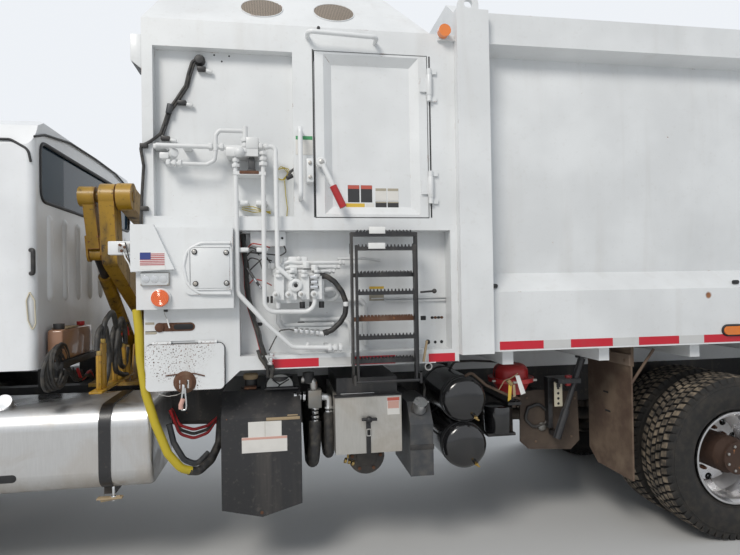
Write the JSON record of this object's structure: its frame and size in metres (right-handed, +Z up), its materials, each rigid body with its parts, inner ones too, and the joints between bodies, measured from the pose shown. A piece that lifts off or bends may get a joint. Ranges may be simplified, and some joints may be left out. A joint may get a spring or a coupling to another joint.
{
  "type": "side-loading refuse truck",
  "caption": "White side-loading refuse truck with a yellow folding loader arm behind the cab, a tall hopper with a boarding ladder, and a lifting tailgate.",
  "frame": {"origin": "on the ground below the middle of the truck's box", "axes": "+X to the rear, the front faces -X; -Y is the driver's side and +Y the kerb side; +Z up"},
  "size_m": [10.42, 2.84, 3.5598],
  "materials": {
    "white_body": "glossy refuse-body paint with dust, chips and rust",
    "white_cab": "glossy cab paint",
    "arm_yellow": "worn greasy yellow paint",
    "rod_chrome": "hard chrome",
    "gate_barrel_paint": "white paint",
    "chassis_black": "dusty black chassis paint",
    "bumper_steel": "polished bumper",
    "tank_aluminium": "brushed, streaked aluminium",
    "tank_black": "satin black paint",
    "box_steel": "dull stainless cover",
    "fluid_plastic": "grey moulded plastic",
    "packer_steel": "scraped, rusty steel",
    "flap_brown": "muddy rubber",
    "tyre_rubber": "dusty tyre rubber",
    "rim_alloy": "polished wheel with rust at the hub",
    "cab_glass": "tinted glass",
    "lamp_amber": "amber lens",
    "lamp_red": "red lens",
    "lamp_clear": "clear lens",
    "mirror_black": "black plastic",
    "seat_cloth": "dark woven cloth"
  },
  "bodies": {
    "root": {"chassis_frame": "chassis_black", "front_bumper": "bumper_steel", "engine": "chassis_black", "front_axle": "chassis_black", "rear_axles": "chassis_black", "cab_shell": "white_cab", "cab_glass": "cab_glass", "mirrors": "mirror_black", "dashboard": "mirror_black", "seats": "seat_cloth", "fuel_tanks": "tank_aluminium", "hydraulic_tank": "tank_black", "battery_box": "box_steel", "fluid_tank": "fluid_plastic", "air_tanks": "tank_black", "brake_gear": "chassis_black", "hopper": "white_body", "body_shell": "white_body", "lamp_pod": "white_body", "hydraulic_plumbing": "white_body", "ladder": "tank_black", "mudflaps": "flap_brown", "marker_lamps": "lamp_amber", "arm_base": "arm_yellow"},
    "knuckle_left": {"knuckle_left": "chassis_black"},
    "knuckle_right": {"knuckle_right": "chassis_black"},
    "wheel_front_left": {"tyre_front_left": "tyre_rubber", "rim_front_left": "rim_alloy"},
    "wheel_front_right": {"tyre_front_right": "tyre_rubber", "rim_front_right": "rim_alloy"},
    "door_left": {"door_left": "white_cab", "glass_left": "cab_glass"},
    "door_right": {"door_right": "white_cab", "glass_right": "cab_glass"},
    "hood": {"hood": "white_cab", "headlamps": "lamp_clear"},
    "tailgate": {"tailgate": "white_body", "tail_lamps": "lamp_red"},
    "gate_barrels": {"gate_barrels": "gate_barrel_paint"},
    "gate_rods": {"gate_rods": "rod_chrome"},
    "utility_flap": {"utility_flap": "white_body"},
    "access_door": {"access_door": "white_body"},
    "ladder_fold": {"ladder_fold": "tank_black"},
    "packer_blade": {"packer_blade": "packer_steel"},
    "lower_boom": {"lower_boom": "arm_yellow"},
    "knee_lever": {"knee_lever": "arm_yellow"},
    "upper_boom": {"upper_boom": "arm_yellow"},
    "level_strut": {"level_strut": "arm_yellow"},
    "finger_front": {"finger_front": "arm_yellow"},
    "finger_rear": {"finger_rear": "arm_yellow"},
    "lift_barrel": {"lift_barrel": "arm_yellow"},
    "lift_rod": {"lift_rod": "rod_chrome"},
    "wheel_rear_1_left": {"tyres_rear_1_left": "tyre_rubber", "rims_rear_1_left": "rim_alloy"},
    "wheel_rear_1_right": {"tyres_rear_1_right": "tyre_rubber", "rims_rear_1_right": "rim_alloy"},
    "wheel_rear_2_left": {"tyres_rear_2_left": "tyre_rubber", "rims_rear_2_left": "rim_alloy"},
    "wheel_rear_2_right": {"tyres_rear_2_right": "tyre_rubber", "rims_rear_2_right": "rim_alloy"}
  },
  "joints": [
    {"name": "steer_left", "type": "hinge", "parent": "root", "child": "knuckle_left", "pos_m": [-4.01, -0.93, 0.527], "axis": [0, 0, 1], "range_deg": [-32, 32]},
    {"name": "steer_right", "type": "hinge", "parent": "root", "child": "knuckle_right", "pos_m": [-4.01, 0.93, 0.527], "axis": [0, 0, 1], "range_deg": [-32, 32]},
    {"name": "roll_front_left", "type": "hinge", "parent": "knuckle_left", "child": "wheel_front_left", "pos_m": [-4.01, -1.04, 0.527], "axis": [0, 1, 0], "continuous": true},
    {"name": "roll_front_right", "type": "hinge", "parent": "knuckle_right", "child": "wheel_front_right", "pos_m": [-4.01, 1.04, 0.527], "axis": [0, 1, 0], "continuous": true},
    {"name": "roll_rear_1_left", "type": "hinge", "parent": "root", "child": "wheel_rear_1_left", "pos_m": [1.905, -0.9085, 0.527], "axis": [0, 1, 0], "continuous": true},
    {"name": "roll_rear_1_right", "type": "hinge", "parent": "root", "child": "wheel_rear_1_right", "pos_m": [1.905, 0.9085, 0.527], "axis": [0, 1, 0], "continuous": true},
    {"name": "roll_rear_2_left", "type": "hinge", "parent": "root", "child": "wheel_rear_2_left", "pos_m": [3.225, -0.9085, 0.527], "axis": [0, 1, 0], "continuous": true},
    {"name": "roll_rear_2_right", "type": "hinge", "parent": "root", "child": "wheel_rear_2_right", "pos_m": [3.225, 0.9085, 0.527], "axis": [0, 1, 0], "continuous": true},
    {"name": "door_left_swing", "type": "hinge", "parent": "root", "child": "door_left", "pos_m": [-3.752, -1.03, 1.88], "axis": [0, 0, -1], "range_deg": [0, 68]},
    {"name": "door_right_swing", "type": "hinge", "parent": "root", "child": "door_right", "pos_m": [-3.752, 1.03, 1.88], "axis": [0, 0, 1], "range_deg": [0, 68]},
    {"name": "hood_tilt", "type": "hinge", "parent": "root", "child": "hood", "pos_m": [-5.08, 0, 0.75], "axis": [0, -1, 0], "range_deg": [0, 75]},
    {"name": "tailgate_lift", "type": "hinge", "parent": "root", "child": "tailgate", "pos_m": [4.328, 0, 3.306], "axis": [0, -1, 0], "range_deg": [0, 80]},
    {"name": "gate_barrel_tilt", "type": "hinge", "parent": "root", "child": "gate_barrels", "pos_m": [3.4, 0, 3.425], "axis": [0, -1, 0], "range_deg": [-1, 5.06]},
    {"name": "gate_rod_slide", "type": "slide", "parent": "gate_barrels", "child": "gate_rods", "axis": [1, 0, -0.0046], "range_m": [-0.2398, 0.005]},
    {"name": "utility_flap_lift", "type": "hinge", "parent": "root", "child": "utility_flap", "pos_m": [-1.517, -1.234, 1.386], "axis": [-1, 0, 0], "range_deg": [0, 100]},
    {"name": "access_door_swing", "type": "hinge", "parent": "root", "child": "access_door", "pos_m": [-0.128, -1.237, 2.55], "axis": [0, 0, 1], "range_deg": [0, 105]},
    {"name": "ladder_unfold", "type": "hinge", "parent": "root", "child": "ladder_fold", "pos_m": [-0.421, -1.347, 1.15], "axis": [1, 0, 0], "range_deg": [0, 180]},
    {"name": "packer_push", "type": "slide", "parent": "root", "child": "packer_blade", "axis": [1, 0, 0], "range_m": [0, 0.85]},
    {"name": "boom_reach", "type": "hinge", "parent": "root", "child": "lower_boom", "pos_m": [-2.05, 0.3, 1.45], "axis": [-1, 0, 0], "range_deg": [0, 105]},
    {"name": "knee_level", "type": "hinge", "parent": "lower_boom", "child": "knee_lever", "pos_m": [-2.05, -0.7, 2.26], "axis": [-1, 0, 0], "range_deg": [-105, 0]},
    {"name": "boom_tip", "type": "hinge", "parent": "knee_lever", "child": "upper_boom", "pos_m": [-2.05, -0.7, 2.26], "axis": [1, 0, 0], "range_deg": [0, 105]},
    {"name": "strut_swing", "type": "hinge", "parent": "root", "child": "level_strut", "pos_m": [-2.163, 0.42, 1.1], "axis": [-1, 0, 0], "range_deg": [0, 105]},
    {"name": "lift_barrel_tilt", "type": "hinge", "parent": "root", "child": "lift_barrel", "pos_m": [-1.93, -0.376, 1.269], "axis": [-1, 0, 0], "range_deg": [-1, 16.39]},
    {"name": "lift_rod_slide", "type": "slide", "parent": "lift_barrel", "child": "lift_rod", "axis": [0, 0.8088, 0.5881], "range_m": [-0.005, 0.3661]},
    {"name": "grab_front", "type": "hinge", "parent": "upper_boom", "child": "finger_front", "pos_m": [-1.62, 1.235, 0.85], "axis": [0, 0, -1], "range_deg": [0, 95]},
    {"name": "grab_rear", "type": "hinge", "parent": "upper_boom", "child": "finger_rear", "pos_m": [-1.18, 1.235, 0.85], "axis": [0, 0, 1], "range_deg": [0, 95]}
  ],
  "couplings": [
    {"joint": "steer_right", "follows": "steer_left", "ratio": 1},
    {"joint": "knee_level", "follows": "boom_reach", "ratio": -1},
    {"joint": "strut_swing", "follows": "boom_reach", "ratio": 1},
    {"joint": "lift_barrel_tilt", "follows": "boom_reach", "ratio": 0.14655},
    {"joint": "lift_rod_slide", "follows": "boom_reach", "m_per_rad": 0.19705},
    {"joint": "gate_barrel_tilt", "follows": "tailgate_lift", "ratio": 0.044555},
    {"joint": "gate_rod_slide", "follows": "tailgate_lift", "m_per_rad": -0.16819},
    {"joint": "grab_rear", "follows": "grab_front", "ratio": 1}
  ]
}
